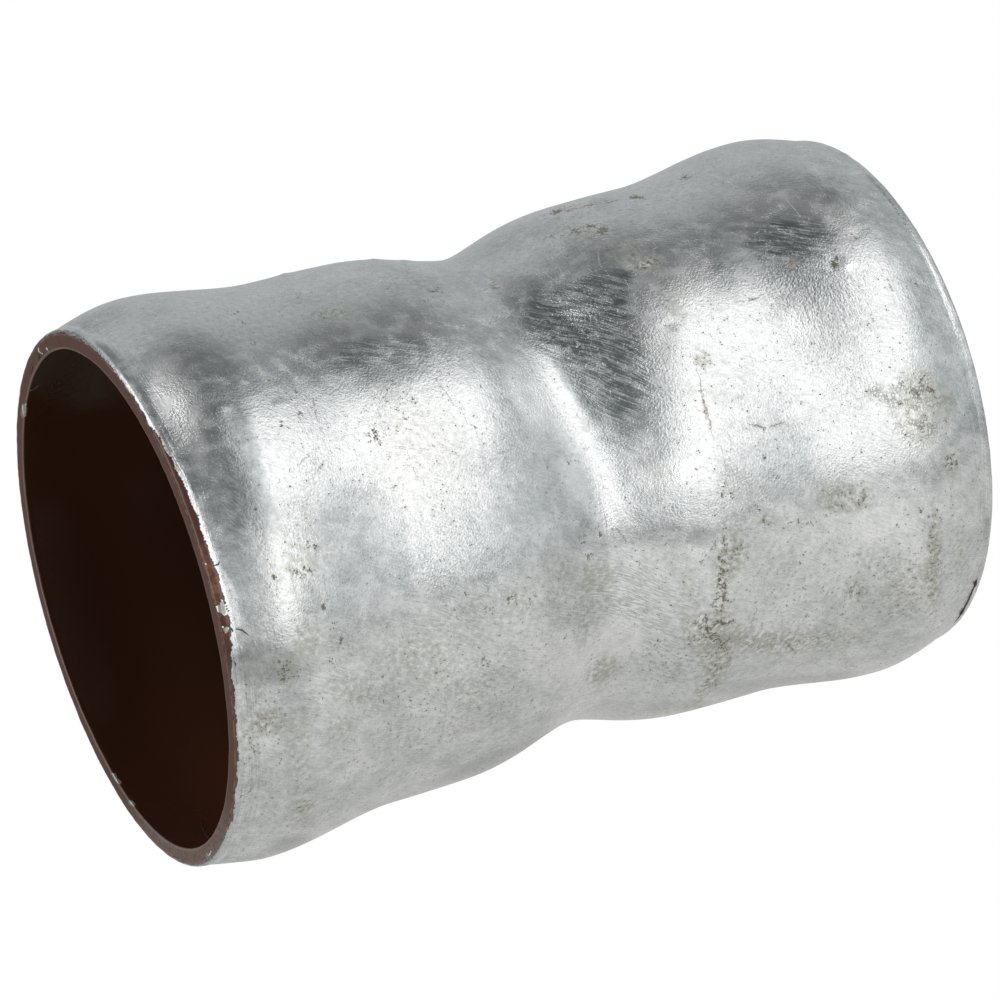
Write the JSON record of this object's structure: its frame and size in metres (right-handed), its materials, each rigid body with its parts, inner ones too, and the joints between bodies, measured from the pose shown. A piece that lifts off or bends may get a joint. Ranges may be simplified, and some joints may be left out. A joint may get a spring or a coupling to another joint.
{
  "type": "slip coupling",
  "caption": "One-piece galvanised steel slip coupling, a double socket with seal bulges at both mouths and a narrower waist, brown coated inside, for joining drain pipes.",
  "frame": {"origin": "centre of the lower rim, on the surface that the coupling stands on", "axes": "+Z along the coupling's axis of revolution, from the lower mouth to the upper one; +X and +Y are equivalent, as the coupling is a body of revolution"},
  "size_m": [0.0682, 0.0682, 0.1],
  "materials": {
    "zinc": "dull hot-dip zinc, scratched and stained, over formed steel tube; the whole inside and the cut rims carry a glossy dark red-brown coat"
  },
  "bodies": {
    "root": {"coupling_body": "zinc"}
  },
  "joints": []
}
